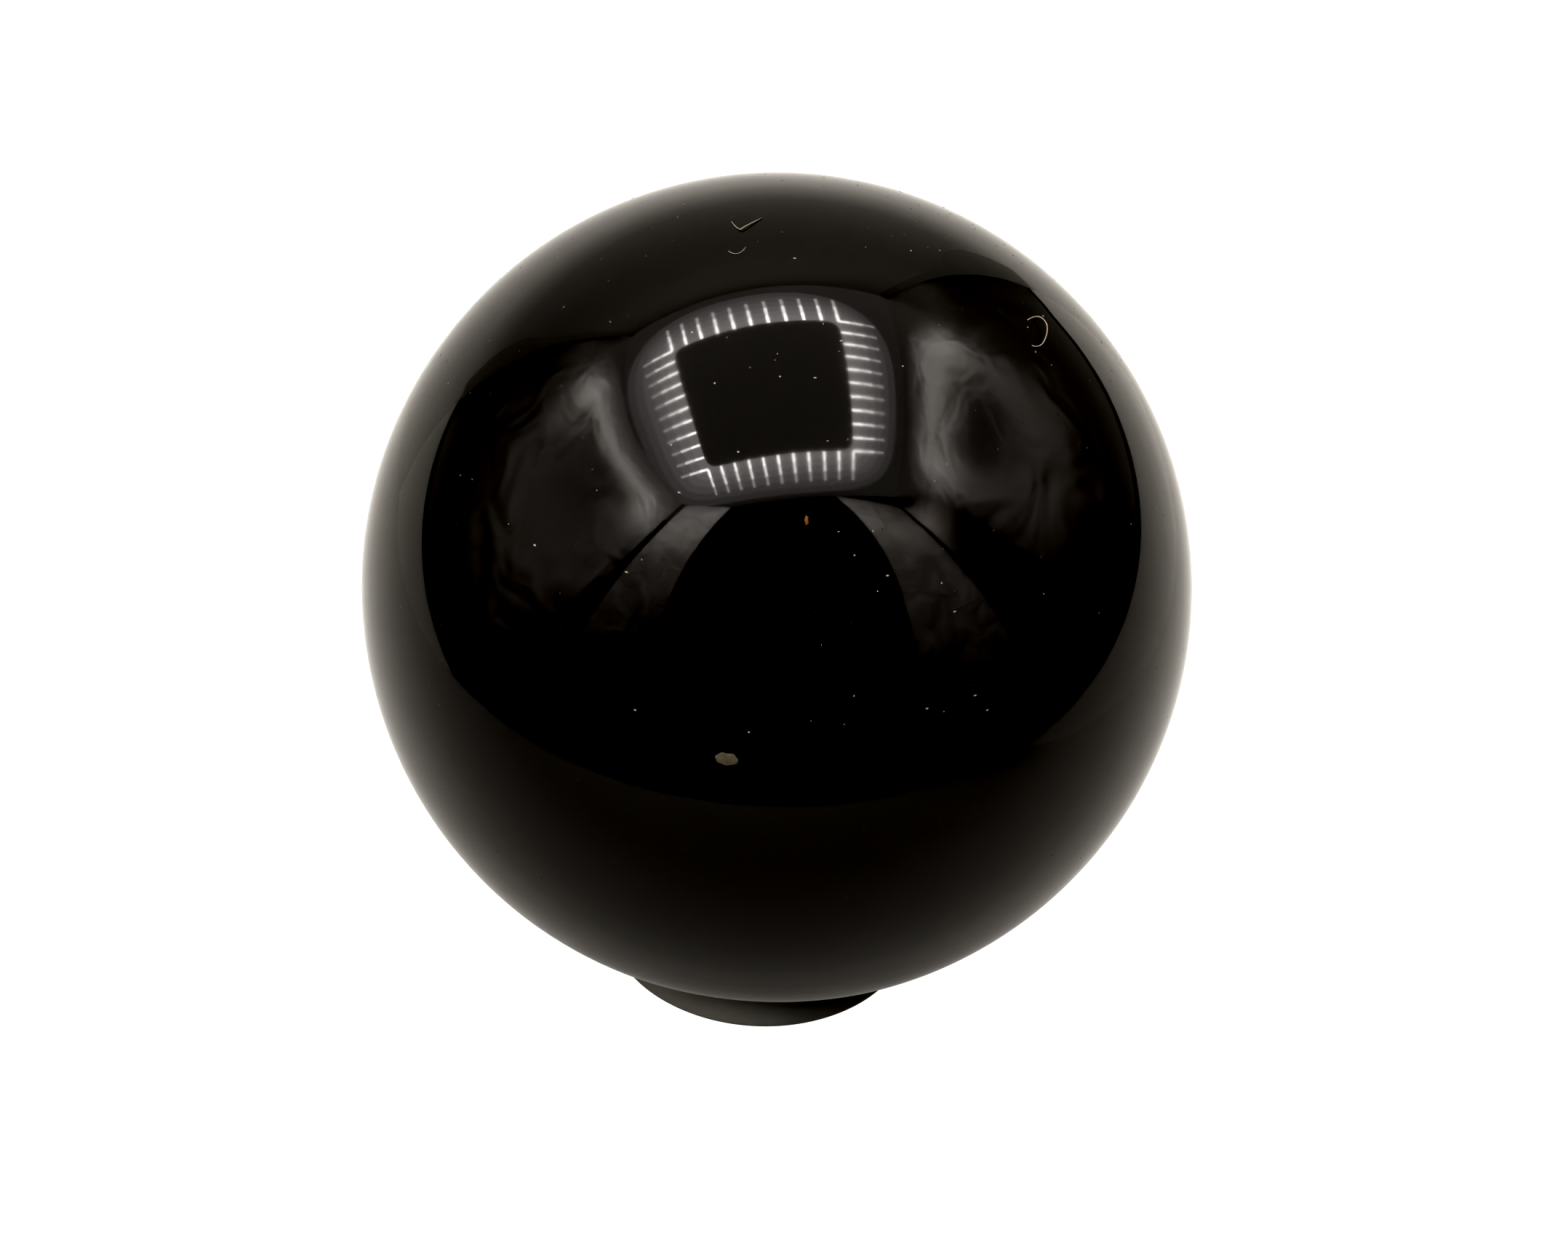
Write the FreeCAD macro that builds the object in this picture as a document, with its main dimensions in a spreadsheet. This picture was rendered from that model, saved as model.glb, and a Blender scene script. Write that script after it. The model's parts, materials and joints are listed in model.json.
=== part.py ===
"""Case opening friction ball on its ring stand, as a parametric document in millimetres.

A soft, air-filled ball is pressed on a screw-down watch back and turned by hand.
It is stored in a small moulded ring, so that it doesn't roll off the bench.
Every piece is round about the Z axis. Z = 0 is the bench that the ring stands on.
"""
import FreeCAD, Part
import math
import os

import Sketcher

DOC = FreeCAD.newDocument("friction_ball")
SHEET = DOC.addObject("Spreadsheet::Sheet", "Sizes")

# Driving dimensions: alias, millimetres, what it is.
DIMENSIONS = [
    ("ball_diameter", 65.0, "ball, blown up"),
    ("skin_wall", 3.0, "soft wall of the ball"),
    ("boss_radius", 6.0, "thick patch inside the ball that grips the valve plug"),
    ("boss_length", 7.0, "how far the patch stands into the air space"),
    ("boss_round", 1.5, "rounding where the patch meets the air space"),
    ("plug_head_radius", 3.8, "valve plug's head, flush with the ball"),
    ("plug_head_length", 1.5, "valve plug's head along its axis"),
    ("plug_shank_radius", 2.4, "valve plug's shank"),
    ("plug_barb_radius", 3.2, "bulb that stops the plug from being pushed out"),
    ("plug_barb_length", 2.0, "bulb along its axis"),
    ("plug_barb_taper", 1.2, "how much the bulb narrows to its tip"),
    ("needle_radius", 0.9, "channel for the inflating needle"),
    ("needle_depth", 7.5, "channel's blind end, from the ball's surface"),
    ("needle_lead_in", 0.4, "chamfer at the channel's mouth"),
    ("floor_gap", 2.9, "ball's lowest point above the bench"),
    ("seat_gap", 0.2, "free space between the ball and its seat"),
    ("ring_radius", 12.8, "ring stand's foot, outside"),
    ("ring_wall", 3.4, "ring stand's foot, from the outside to the hole"),
    ("ring_draft", 0.35, "how much the outer wall leans in at the rim"),
    ("rim_round", 1.1, "rounding of the rim beside the ball"),
    ("foot_round", 0.45, "rounding of the foot's two edges"),
    ("seat_edge_round", 0.4, "rounding where the seat meets the hole"),
]
for row, (alias, millimetres, meaning) in enumerate(DIMENSIONS, start=1):
    SHEET.set(f"A{row}", meaning)
    SHEET.set(f"B{row}", str(millimetres))
    SHEET.setAlias(f"B{row}", alias)
DOC.recompute()

# Places that several pieces share, written in the sheet's own names.
BALL_RADIUS = "Sizes.ball_diameter / 2"
BALL_CENTRE = "(Sizes.floor_gap + Sizes.ball_diameter / 2)"
CAVITY_RADIUS = "(Sizes.ball_diameter / 2 - Sizes.skin_wall)"
SEAT_RADIUS = "(Sizes.ball_diameter / 2 + Sizes.seat_gap)"
HEAD_TOP = "(Sizes.floor_gap + Sizes.plug_head_length)"
BOSS_TOP = "(Sizes.floor_gap + Sizes.skin_wall + Sizes.boss_length)"
RING_HOLE = "(Sizes.ring_radius - Sizes.ring_wall)"
RING_RIM = f"({BALL_CENTRE} - sqrt({SEAT_RADIUS}^2 - Sizes.ring_radius^2))"

ORIGIN = (-1, 1)
H_AXIS = -1
V_AXIS = -2
ZERO = "0"
OVERCUT = 1.0
HALF_TURN = 180.0
TINY = 1e-6


def value(expression):
    """The expression's value in millimetres."""
    return float(SHEET.evalExpression(expression))


def plane(body, role):
    """The body's own origin plane with this role."""
    return next(item for item in body.Origin.OriginFeatures if item.Role == role)


def pin_coordinate(sketch, name, kind, point, expression):
    """Holds a sketch point's distance from the axis, or its height, to an expression."""
    if expression == ZERO:
        axis = V_AXIS if kind == "DistanceX" else H_AXIS
        sketch.addConstraint(Sketcher.Constraint("PointOnObject", *point, axis))
        return
    index = sketch.addConstraint(Sketcher.Constraint(kind, *ORIGIN, *point, value(expression)))
    sketch.renameConstraint(index, name)
    sketch.setExpression(f"Constraints.{name}", expression)


def outline(body, name, corners):
    """A closed outline in the half plane through the Z axis, for turning about that axis.

    Each corner is (distance from axis, height, arc radius). A radius makes the side from that
    corner to the next an arc about the ball's centre, and the height there follows from it.
    """
    sketch = body.newObject("Sketcher::SketchObject", name)
    sketch.AttachmentSupport = (plane(body, "XZ_Plane"), "")
    sketch.MapMode = "FlatFace"
    centre = FreeCAD.Vector(0, value(BALL_CENTRE), 0)
    spots = [FreeCAD.Vector(value(reach), value(height), 0) for reach, height, _ in corners]
    ends = []
    for index, (_, _, radius) in enumerate(corners):
        here = spots[index]
        there = spots[(index + 1) % len(corners)]
        if radius is None:
            side = sketch.addGeometry(Part.LineSegment(here, there), False)
            ends.append(((side, 1), (side, 2)))
            continue
        angles = [math.atan2(spot.y - centre.y, spot.x - centre.x) for spot in (here, there)]
        circle = Part.Circle(centre, FreeCAD.Vector(0, 0, 1), value(radius))
        side = sketch.addGeometry(Part.ArcOfCircle(circle, min(angles), max(angles)), False)
        rising = angles[0] < angles[1]
        ends.append(((side, 1), (side, 2)) if rising else ((side, 2), (side, 1)))
    for index, (_, tail) in enumerate(ends):
        head = ends[(index + 1) % len(ends)][0]
        sketch.addConstraint(Sketcher.Constraint("Coincident", *tail, *head))
    for index, (reach, height, radius) in enumerate(corners):
        point = ends[index][0]
        pin_coordinate(sketch, f"reach_{index}", "DistanceX", point, reach)
        beside_arc = radius is not None or corners[index - 1][2] is not None
        if not beside_arc:
            pin_coordinate(sketch, f"height_{index}", "DistanceY", point, height)
        if radius is not None:
            middle = (point[0], 3)
            pin_coordinate(sketch, f"centre_reach_{index}", "DistanceX", middle, ZERO)
            pin_coordinate(sketch, f"centre_height_{index}", "DistanceY", middle, BALL_CENTRE)
            arc = sketch.addConstraint(Sketcher.Constraint("Radius", point[0], value(radius)))
            sketch.renameConstraint(arc, f"radius_{index}")
            sketch.setExpression(f"Constraints.radius_{index}", radius)
    DOC.recompute()
    return sketch


def on_ball(radius, reach):
    """Height of a ball-centred arc, under its centre, at a distance from the axis."""
    return f"{BALL_CENTRE} - sqrt(({radius})^2 - ({reach})^2)"


def new_body(label):
    """An empty body at the shared origin, named as the piece is."""
    body = DOC.addObject("PartDesign::Body", label)
    body.Label = label
    body.Placement = FreeCAD.Placement()
    return body


def turn_solid(body, name, corners):
    """Adds material by turning an outline once round the Z axis."""
    turned = body.newObject("PartDesign::Revolution", name)
    turned.Profile = outline(body, f"{name}_outline", corners)
    turned.ReferenceAxis = (turned.Profile[0], ["V_Axis"])
    turned.Angle = 2 * HALF_TURN
    DOC.recompute()
    return turned


def turn_cut(body, name, corners):
    """Takes material away by turning an outline once round the Z axis."""
    before = body.Shape.Volume
    cut = body.newObject("PartDesign::Groove", name)
    cut.Profile = outline(body, f"{name}_outline", corners)
    cut.ReferenceAxis = (cut.Profile[0], ["V_Axis"])
    cut.Angle = 2 * HALF_TURN
    DOC.recompute()
    removed = before - body.Shape.Volume
    if removed <= TINY:
        raise RuntimeError(f"{name} cuts nothing")
    print(f"{name} takes away {removed:.1f} mm3")
    return cut


def round_edge(body, name, reach, height, size, limit):
    """Rounds the circular edge nearest to a distance from the axis and a height."""
    base = body.Tip
    target = (value(reach), value(height))
    rings = []
    for number, edge in enumerate(base.Shape.Edges, start=1):
        if not edge.Degenerated and isinstance(edge.Curve, Part.Circle):
            place = (edge.Curve.Radius, edge.Curve.Center.z)
            rings.append((math.dist(place, target), number))
    nearest = min(rings)[1]
    before = base.Shape.Volume
    rounded = body.newObject("PartDesign::Fillet", name)
    rounded.Base = (base, [f"Edge{nearest}"])
    rounded.Radius = value(f"min({size}; {limit})")
    rounded.setExpression("Radius", f"min({size}; {limit})")
    DOC.recompute()
    if abs(body.Shape.Volume - before) <= TINY:
        raise RuntimeError(f"{name} rounds nothing")
    return rounded


def make_stand_ring():
    """Moulded ring: a leaning outer wall, a rounded rim, and a seat that follows the ball."""
    body = new_body("stand_ring")
    hole = RING_HOLE
    top = f"{RING_RIM} + {OVERCUT}"
    turn_solid(body, "ring_blank", [
        (hole, ZERO, None),
        ("Sizes.ring_radius", ZERO, None),
        ("Sizes.ring_radius - Sizes.ring_draft", top, None),
        (hole, top, None),
    ])
    turn_cut(body, "ball_seat", [
        (ZERO, f"{BALL_CENTRE} - {SEAT_RADIUS}", SEAT_RADIUS),
        (ZERO, f"{BALL_CENTRE} + {SEAT_RADIUS}", None),
    ])
    third = "Sizes.ring_wall / 3"
    round_edge(body, "rim_rounding", "Sizes.ring_radius", RING_RIM, "Sizes.rim_round", third)
    seat_edge = on_ball(SEAT_RADIUS, hole)
    round_edge(body, "seat_edge_rounding", hole, seat_edge, "Sizes.seat_edge_round", third)
    round_edge(body, "outer_foot_rounding", "Sizes.ring_radius", ZERO, "Sizes.foot_round", third)
    round_edge(body, "inner_foot_rounding", hole, ZERO, "Sizes.foot_round", third)
    return body


def make_ball_skin():
    """Hollow soft ball with a thick patch at its lowest point, bored for the valve plug."""
    body = new_body("ball_skin")
    turn_solid(body, "ball_blank", [
        (ZERO, f"{BALL_CENTRE} - {BALL_RADIUS}", BALL_RADIUS),
        (ZERO, f"{BALL_CENTRE} + {BALL_RADIUS}", None),
    ])
    turn_cut(body, "air_space", [
        ("Sizes.boss_radius", on_ball(CAVITY_RADIUS, "Sizes.boss_radius"), CAVITY_RADIUS),
        (ZERO, f"{BALL_CENTRE} + {CAVITY_RADIUS}", None),
        (ZERO, BOSS_TOP, None),
        ("Sizes.boss_radius", BOSS_TOP, None),
    ])
    wall_left = "(Sizes.boss_radius - Sizes.plug_shank_radius) / 2"
    round_edge(body, "patch_rounding", "Sizes.boss_radius", BOSS_TOP, "Sizes.boss_round", wall_left)
    foot = on_ball(CAVITY_RADIUS, "Sizes.boss_radius")
    round_edge(body, "patch_blend", "Sizes.boss_radius", foot, "Sizes.boss_round", wall_left)
    outside = f"Sizes.floor_gap - {OVERCUT}"
    turn_cut(body, "plug_hole", [
        (ZERO, outside, None),
        ("Sizes.plug_head_radius", outside, None),
        ("Sizes.plug_head_radius", HEAD_TOP, None),
        ("Sizes.plug_shank_radius", HEAD_TOP, None),
        ("Sizes.plug_shank_radius", f"{BOSS_TOP} + {OVERCUT}", None),
        (ZERO, f"{BOSS_TOP} + {OVERCUT}", None),
    ])
    return body


def make_valve_plug():
    """Self-sealing rubber plug: a flush head, a shank, and a bulb that holds it in the patch."""
    body = new_body("valve_plug")
    barb_top = f"{BOSS_TOP} + Sizes.plug_barb_length"
    turn_solid(body, "plug_blank", [
        (ZERO, "Sizes.floor_gap", BALL_RADIUS),
        ("Sizes.plug_head_radius", on_ball(BALL_RADIUS, "Sizes.plug_head_radius"), None),
        ("Sizes.plug_head_radius", HEAD_TOP, None),
        ("Sizes.plug_shank_radius", HEAD_TOP, None),
        ("Sizes.plug_shank_radius", BOSS_TOP, None),
        ("Sizes.plug_barb_radius", BOSS_TOP, None),
        ("Sizes.plug_barb_radius - Sizes.plug_barb_taper", barb_top, None),
        (ZERO, barb_top, None),
    ])
    outside = f"Sizes.floor_gap - {OVERCUT}"
    mouth = f"Sizes.needle_radius + Sizes.needle_lead_in + {OVERCUT}"
    blind_end = "Sizes.floor_gap + Sizes.needle_depth"
    turn_cut(body, "needle_channel", [
        (ZERO, outside, None),
        (mouth, outside, None),
        ("Sizes.needle_radius", "Sizes.floor_gap + Sizes.needle_lead_in", None),
        ("Sizes.needle_radius", blind_end, None),
        (ZERO, blind_end, None),
    ])
    return body


def check_document(pieces):
    """Stops the build if any object failed, or a piece isn't one valid solid."""
    for item in DOC.Objects:
        if "Invalid" in item.State or "Error" in item.State:
            raise RuntimeError(f"{item.Label} failed: {item.State}")
    for piece in pieces:
        shape = piece.Shape
        if shape.isNull() or not shape.isValid() or len(shape.Solids) != 1:
            raise RuntimeError(f"{piece.Label} is not one valid solid")


def write_pieces(pieces):
    """Writes each piece to parts/ under its own name."""
    os.makedirs("parts", exist_ok=True)
    for piece in pieces:
        piece.Shape.exportStep(f"parts/{piece.Label}.step")
        box = piece.Shape.BoundBox
        print(f"{piece.Label}: {piece.Shape.Volume:.0f} mm3, {box.XLength:.2f} across, "
              f"Z {box.ZMin:.2f} to {box.ZMax:.2f}")


PIECES = [make_stand_ring(), make_ball_skin(), make_valve_plug()]
DOC.recompute()
check_document(PIECES)
write_pieces(PIECES)
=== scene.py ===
# %% [markdown]
# A case opening friction ball is a soft, tacky, air-filled ball. A watchmaker presses it on a
# screw-down case back and turns it by hand. It is kept in a small ring so that it can't roll away.
# This lesson gives the three engineering solids their looks. It loads them as a fixed frame, makes
# a smooth, finished piece for each one, and lights them as a small light box does.

# %% Load the fixed frame
import json
import math
from itertools import pairwise

import bmesh
import bpy
from mathutils import Matrix, Vector

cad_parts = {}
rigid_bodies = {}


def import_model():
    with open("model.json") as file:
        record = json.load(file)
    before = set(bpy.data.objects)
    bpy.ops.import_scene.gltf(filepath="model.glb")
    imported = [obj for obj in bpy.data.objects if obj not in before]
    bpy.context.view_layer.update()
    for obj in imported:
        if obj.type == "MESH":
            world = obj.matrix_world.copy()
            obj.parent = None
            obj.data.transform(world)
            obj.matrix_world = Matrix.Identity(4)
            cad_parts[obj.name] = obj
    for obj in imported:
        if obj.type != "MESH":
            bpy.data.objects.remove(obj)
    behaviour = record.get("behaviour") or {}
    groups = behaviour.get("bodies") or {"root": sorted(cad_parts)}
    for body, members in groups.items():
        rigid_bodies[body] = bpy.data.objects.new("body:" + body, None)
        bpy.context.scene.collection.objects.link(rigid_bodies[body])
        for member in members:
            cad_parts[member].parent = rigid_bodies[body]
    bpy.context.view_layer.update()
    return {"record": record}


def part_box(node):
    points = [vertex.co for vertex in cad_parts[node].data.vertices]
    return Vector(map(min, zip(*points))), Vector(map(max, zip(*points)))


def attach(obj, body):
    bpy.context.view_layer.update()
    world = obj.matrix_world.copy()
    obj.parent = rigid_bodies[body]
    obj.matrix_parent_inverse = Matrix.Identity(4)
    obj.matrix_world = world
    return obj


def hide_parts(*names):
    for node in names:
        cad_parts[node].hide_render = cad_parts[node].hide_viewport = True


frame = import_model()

MM = 0.001
record = frame["record"]

# %% [markdown]
# Sizes come from the frame wherever the frame has them. The ball is round about the Z axis, so its
# highest point and half its width give the centre. The sizes that a box can't give, such as the
# wall inside the ball, are named here in millimetres and are the ones the engineering model uses.

# %% Measure the ball, the plug and the ring
skin_low, skin_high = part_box("ball_skin")
plug_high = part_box("valve_plug")[1]
ring_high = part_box("stand_ring")[1]

BALL_RADIUS = round((skin_high.x - skin_low.x) / 2 / MM, 1) * MM
CENTRE_HEIGHT = skin_high.z - BALL_RADIUS
HEAD_RADIUS = round(plug_high.x / MM, 2) * MM
PLUG_TOP = plug_high.z
RING_RADIUS = round(ring_high.x / MM, 1) * MM
needle = next(mount for mount in record["mounts"] if mount["name"] == "valve_needle")
NEEDLE_RADIUS = needle["dims"]["r_mm"] * MM

SKIN_WALL = 3.0 * MM
PATCH_RADIUS = 6.0 * MM
PATCH_LENGTH = 7.0 * MM
PATCH_ROUND = 1.5 * MM
HEAD_LENGTH = 1.5 * MM
SHANK_RADIUS = 2.4 * MM
BARB_RADIUS = 3.2 * MM
BARB_TAPER = 1.2 * MM
NEEDLE_DEPTH = 7.5 * MM
SEAT_GAP = 0.2 * MM
RING_WALL = 3.4 * MM
RING_DRAFT = 0.35 * MM
RIM_ROUND = 1.1 * MM
FOOT_ROUND = 0.45 * MM
BOTTOM = CENTRE_HEIGHT - BALL_RADIUS
BALL_CENTRE = Vector((0, 0, CENTRE_HEIGHT))
print("ball radius", BALL_RADIUS / MM, "centre", CENTRE_HEIGHT / MM, "ring radius", RING_RADIUS / MM)

# %% [markdown]
# The camera stands in front and well above the bench, and looks down at the ball. A long lens
# nine ball radii away keeps the ball's outline round, and lets the near edge of the ring show
# under it. The camera is tipped a little about its own line of sight, as a hand-held one is.

# %% Place the camera
CAMERA_HEIGHT_ANGLE = math.radians(36.5)
CAMERA_ROLL = math.radians(3.0)
CAMERA_DISTANCE = 9 * BALL_RADIUS
BALL_SHARE_OF_WIDTH = 0.2648
SENSOR_WIDTH = 36
AIM_RIGHT = 0.0172
AIM_DOWN = 0.0811


def add_object(name, contents):
    """Puts a new object in the scene."""
    item = bpy.data.objects.new(name, contents)
    bpy.context.scene.collection.objects.link(item)
    return item


camera_data = bpy.data.cameras.new("bench_camera")
camera = add_object("bench_camera", camera_data)
back = Vector((0, -math.cos(CAMERA_HEIGHT_ANGLE), math.sin(CAMERA_HEIGHT_ANGLE)))
pointing = back.to_track_quat("Z", "Y").to_matrix() @ Matrix.Rotation(CAMERA_ROLL, 3, "Z")
aim = pointing @ Vector((AIM_RIGHT, -AIM_DOWN, 0)) * BALL_RADIUS
camera.location = BALL_CENTRE + back * CAMERA_DISTANCE
line_of_sight = (camera.location - BALL_CENTRE - aim).normalized()
swing = back.rotation_difference(line_of_sight).to_matrix()
camera.rotation_euler = (swing @ pointing).to_euler()
half_angle = math.asin(BALL_RADIUS / CAMERA_DISTANCE)
camera_data.sensor_width = SENSOR_WIDTH
camera_data.lens = camera_data.sensor_width * BALL_SHARE_OF_WIDTH / math.tan(half_angle)
bpy.context.scene.camera = camera
print("lens", round(camera_data.lens, 1), "mm")

# %% [markdown]
# A material or a geometry tree is a chain of nodes. One helper adds a node and sets its fields and
# sockets, and joins what it is given. Another one turns the sRGB colour that a person reads off a
# sample card into the linear colour that the shader works in. Two more start a material.

# %% Small helpers for nodes, colours and materials


def set_sockets(node, **sockets):
    """Sets or joins sockets, each named by its label, with _ for a space, or s0, s1 by its place."""
    for label, setting in sockets.items():
        by_place = label[0] == "s" and label[1:].isdigit()
        socket = node.inputs[int(label[1:])] if by_place else node.inputs[label.replace("_", " ")]
        if isinstance(setting, bpy.types.NodeSocket):
            node.id_data.links.new(setting, socket)
        else:
            socket.default_value = setting


def add_node(tree, kind, fields=None, **sockets):
    """Adds a node with its fields and its sockets."""
    node = tree.nodes.new(kind)
    for field, setting in (fields or {}).items():
        setattr(node, field, setting)
    set_sockets(node, **sockets)
    return node


def linear(sheet_colour):
    """An sRGB hex colour as linear RGBA."""
    parts = [int(sheet_colour[place:place + 2], 16) / 255 for place in (1, 3, 5)]
    return [c / 12.92 if c <= 0.04045 else ((c + 0.055) / 1.055) ** 2.4 for c in parts] + [1.0]


def blank_material(name):
    """A new material, and its empty node tree."""
    material = bpy.data.materials.new(name)
    material.use_nodes = True
    material.node_tree.nodes.clear()
    return material, material.node_tree


def new_material(name):
    """A new material with its tree, its Principled shader and its object coordinates."""
    material, tree = blank_material(name)
    shader = add_node(tree, "ShaderNodeBsdfPrincipled")
    output = add_node(tree, "ShaderNodeOutputMaterial", Surface=shader.outputs[0])
    output.is_active_output = True
    where = add_node(tree, "ShaderNodeTexCoord").outputs["Object"]
    return material, tree, shader, where


print("middle grey #808080 is", round(linear("#808080")[0], 3), "in linear light")

# %% [markdown]
# Soft PVC, moulded and glossy. The ball is plasticised PVC, spun in a polished metal mould. That
# gives a wet, black gloss with almost no colour of its own: what the eye sees is the room mirrored
# in it, weak in the middle and strong at the edge. A real one is never perfect, so three things
# break the mirror: a greasy film from hands in soft patches, a faint orange peel, and dust.

# %% Ball finish: glossy soft PVC
FILM_PATCH = 9 * MM
ORANGE_PEEL = 1.1 * MM
DUST_CELL = 0.9 * MM

ball_finish, tree, shader, where = new_material("soft_pvc_polished_mould")
film = add_node(tree, "ShaderNodeTexNoise", Vector=where, Scale=1 / FILM_PATCH, Detail=5.0,
                Roughness=0.62, Distortion=0.6)
film_gloss = add_node(tree, "ShaderNodeMapRange", Value=film.outputs["Fac"],
                      From_Min=0.35, From_Max=0.75, To_Min=0.03, To_Max=0.075)
dust_cells = add_node(tree, "ShaderNodeTexVoronoi", {"feature": "F1"}, Vector=where,
                      Scale=1 / DUST_CELL)
dust_core = add_node(tree, "ShaderNodeMapRange", {"interpolation_type": "SMOOTHSTEP"},
                     Value=dust_cells.outputs["Distance"], From_Min=0.05, From_Max=0.11,
                     To_Min=1.0, To_Max=0.0)
dust_pick = add_node(tree, "ShaderNodeSeparateColor", Color=dust_cells.outputs["Color"])
dust_few = add_node(tree, "ShaderNodeMath", {"operation": "GREATER_THAN"},
                    s0=dust_pick.outputs[0], s1=0.86)
dust = add_node(tree, "ShaderNodeMath", {"operation": "MULTIPLY"},
                s0=dust_core.outputs[0], s1=dust_few.outputs[0])
body_tint = add_node(tree, "ShaderNodeMix", {"data_type": "RGBA"}, s0=film.outputs["Fac"],
                     s6=linear("#0b0908"), s7=linear("#110f0d"))
dusty_tint = add_node(tree, "ShaderNodeMix", {"data_type": "RGBA"}, s0=dust.outputs[0],
                      s6=body_tint.outputs[2], s7=linear("#4b443b"))
dusty_gloss = add_node(tree, "ShaderNodeMix", {"data_type": "FLOAT"}, s0=dust.outputs[0],
                       s2=film_gloss.outputs[0], s3=0.6)
peel = add_node(tree, "ShaderNodeTexNoise", Vector=where, Scale=1 / ORANGE_PEEL, Detail=2.0)
peel_bump = add_node(tree, "ShaderNodeBump", Height=peel.outputs["Fac"], Strength=0.02,
                     Distance=0.05 * MM)
set_sockets(shader, IOR=1.53, Base_Color=dusty_tint.outputs[2],
            Roughness=dusty_gloss.outputs[0], Normal=peel_bump.outputs[0])
print(ball_finish.name, len(tree.nodes), "nodes")

# %% [markdown]
# Moulded rubber, for the valve plug. It is a harder compound than the skin and comes from a plain
# steel mould, so it is satin and a touch greyer. Fine grain and a slightly chalky bloom, which
# rubber sweats out as it ages, keep it apart from the glossy skin around it.

# %% Plug finish: moulded rubber
RUBBER_GRAIN = 0.12 * MM
RUBBER_BLOOM = 1.6 * MM

plug_finish, tree, shader, where = new_material("valve_rubber_steel_mould")
bloom = add_node(tree, "ShaderNodeTexNoise", Vector=where, Scale=1 / RUBBER_BLOOM, Detail=6.0,
                 Roughness=0.7)
rubber_tint = add_node(tree, "ShaderNodeMix", {"data_type": "RGBA"}, s0=bloom.outputs["Fac"],
                       s6=linear("#1a1a19"), s7=linear("#2b2a28"))
rubber_gloss = add_node(tree, "ShaderNodeMapRange", Value=bloom.outputs["Fac"],
                        From_Min=0.3, From_Max=0.7, To_Min=0.42, To_Max=0.58)
grain = add_node(tree, "ShaderNodeTexNoise", Vector=where, Scale=1 / RUBBER_GRAIN, Detail=3.0)
grain_bump = add_node(tree, "ShaderNodeBump", Height=grain.outputs["Fac"], Strength=0.25,
                      Distance=0.02 * MM)
set_sockets(shader, IOR=1.52, Base_Color=rubber_tint.outputs[2],
            Roughness=rubber_gloss.outputs[0], Normal=grain_bump.outputs[0])
print(plug_finish.name, len(tree.nodes), "nodes")

# %% [markdown]
# Moulded polypropylene, for the ring. The mould is spark-eroded, which leaves an even satin grain
# that scatters the light, so the ring looks greyer and duller than the ball. Flow of the plastic
# leaves faint cloudy differences in gloss, and handling polishes the grain a little.

# %% Ring finish: satin moulded polypropylene
SPARK_GRAIN = 0.16 * MM
FLOW_CLOUD = 3.5 * MM

ring_finish, tree, shader, where = new_material("polypropylene_spark_eroded_mould")
cloud = add_node(tree, "ShaderNodeTexNoise", Vector=where, Scale=1 / FLOW_CLOUD, Detail=4.0)
ring_tint = add_node(tree, "ShaderNodeMix", {"data_type": "RGBA"}, s0=cloud.outputs["Fac"],
                     s6=linear("#4b4a47"), s7=linear("#575652"))
ring_gloss = add_node(tree, "ShaderNodeMapRange", Value=cloud.outputs["Fac"],
                      From_Min=0.3, From_Max=0.7, To_Min=0.30, To_Max=0.42)
spark = add_node(tree, "ShaderNodeTexVoronoi", {"feature": "SMOOTH_F1"}, Vector=where,
                 Scale=1 / SPARK_GRAIN)
spark_bump = add_node(tree, "ShaderNodeBump", Height=spark.outputs["Distance"], Strength=0.3,
                      Distance=0.02 * MM)
set_sockets(shader, IOR=1.49, Base_Color=ring_tint.outputs[2],
            Roughness=ring_gloss.outputs[0], Normal=spark_bump.outputs[0])
print(ring_finish.name, len(tree.nodes), "nodes")

# %% [markdown]
# Dust and lint. A tacky ball picks up skin flakes, paper dust and short cotton fibres as soon as it
# leaves its bag. They are pale, dull and a little see-through, and they are what tells the eye that
# the black mirror under them is a real surface.

# %% Dust and lint finishes


def fibre_material(name, dark, light, size):
    """Dull, pale matter with some variation along it."""
    material, tree, shader, where = new_material(name)
    change = add_node(tree, "ShaderNodeTexNoise", Vector=where, Scale=1 / size, Detail=3.0)
    tint = add_node(tree, "ShaderNodeMix", {"data_type": "RGBA"}, s0=change.outputs["Fac"],
                    s6=linear(dark), s7=linear(light))
    set_sockets(shader, Base_Color=tint.outputs[2], Roughness=0.8)
    return material


lint_finish = fibre_material("cotton_lint_loose", "#3e3a34", "#736d61", 0.3 * MM)
flake_finish = fibre_material("skin_flake_dry", "#24211c", "#3f3b34", 0.4 * MM)
dust_finish = fibre_material("paper_dust_dry", "#38352f", "#655f55", 0.5 * MM)
gold_finish = fibre_material("wood_dust_speck", "#2c2013", "#4b3721", 0.2 * MM)
print("dust finishes:", [item.name for item in (lint_finish, flake_finish, dust_finish, gold_finish)])

# %% [markdown]
# All three pieces are round about one axis. A lathe cut or a turned mould makes such a shape from a
# half outline, and so does this lesson. An outline is a chain of (distance from axis, height)
# points: straight runs are divided evenly, arcs come from their centre, and corners are rounded by
# an arc that touches both sides. Evenly spaced points keep the smooth shading true.

# %% Outline helpers


def arc(centre, radius, start, end, spacing):
    """Points on an arc in the half plane. Angles are in radians from straight out."""
    steps = max(2, math.ceil(abs(end - start) * radius / spacing))
    angles = [start + (end - start) * step / steps for step in range(steps + 1)]
    return [(centre[0] + radius * math.cos(a), centre[1] + radius * math.sin(a)) for a in angles]


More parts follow.
